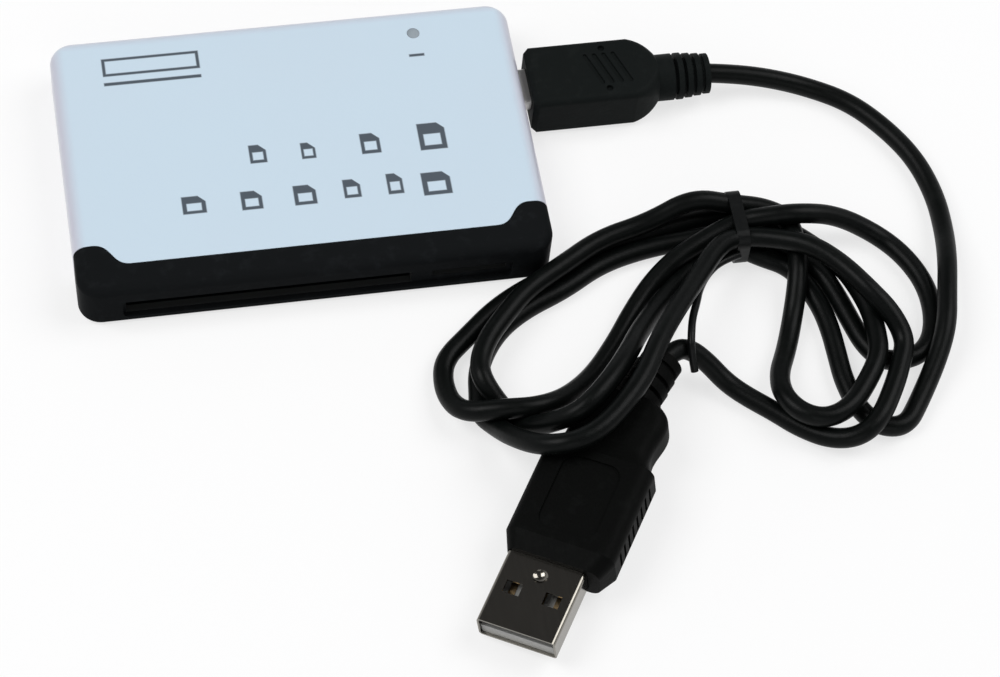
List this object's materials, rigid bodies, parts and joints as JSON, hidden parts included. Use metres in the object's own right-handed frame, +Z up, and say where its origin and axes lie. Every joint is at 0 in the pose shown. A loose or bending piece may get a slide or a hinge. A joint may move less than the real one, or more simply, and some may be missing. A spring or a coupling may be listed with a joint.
{
  "type": "usb memory card reader",
  "caption": "Flat pale plastic card reader with a black front bezel, card slots front and rear, and a tied USB lead from its side to a USB-A plug.",
  "frame": {"origin": "middle of the underside of the reader's case, where it rests on the table", "axes": "+X to the right along the front bezel, towards the side with the lead; +Y to the back; +Z up"},
  "size_m": [0.135, 0.1125, 0.0139],
  "materials": {
    "pale_shell": "glossy pale blue-grey moulding",
    "black_bezel": "glossy black moulding",
    "light_pipe": "clear moulded light pipe",
    "board_green": "solder mask",
    "socket_black": "moulded connector plastic",
    "socket_metal": "stamped sheet",
    "contact_gold": "gold plating",
    "chip_black": "moulded chip package",
    "can_metal": "drawn can",
    "led_white": "moulded chip light",
    "chip_ceramic": "fired ceramic",
    "chip_resistor": "fired ceramic with a dark coat",
    "plug_black": "satin black moulding",
    "plug_metal": "bright plated sheet",
    "plug_white": "white moulded insert",
    "cord_black": "soft vinyl jacket",
    "tie_black": "coated wire strip"
  },
  "bodies": {
    "root": {"top_cover": "pale_shell", "bottom_cover": "pale_shell", "front_bezel": "black_bezel", "led_lens": "light_pipe", "circuit_board": "board_green", "cf_socket": "socket_black", "cf_pins": "contact_gold", "micro_socket_body": "socket_black", "micro_socket_shield": "socket_metal", "micro_contacts": "contact_gold", "combo_socket_body": "socket_black", "combo_socket_cover": "socket_metal", "combo_contacts": "contact_gold", "stick_socket_body": "socket_black", "stick_socket_shield": "socket_metal", "usb_socket_shell": "socket_metal", "usb_socket_tongue": "socket_black", "usb_socket_contacts": "contact_gold", "controller_chip": "chip_black", "crystal": "can_metal", "status_led": "led_white", "capacitors": "chip_ceramic", "resistors": "chip_resistor", "mini_plug_overmould": "plug_black", "mini_plug_shell": "plug_metal", "mini_plug_insert": "socket_black", "usb_plug_overmould": "plug_black", "usb_plug_shell": "plug_metal", "usb_plug_insert": "plug_white", "usb_plug_contacts": "contact_gold", "cord_lead": "cord_black", "cord_tail": "cord_black", "cord_hank": "cord_black", "twist_tie": "tie_black", "tie_tail": "tie_black"}
  },
  "joints": []
}
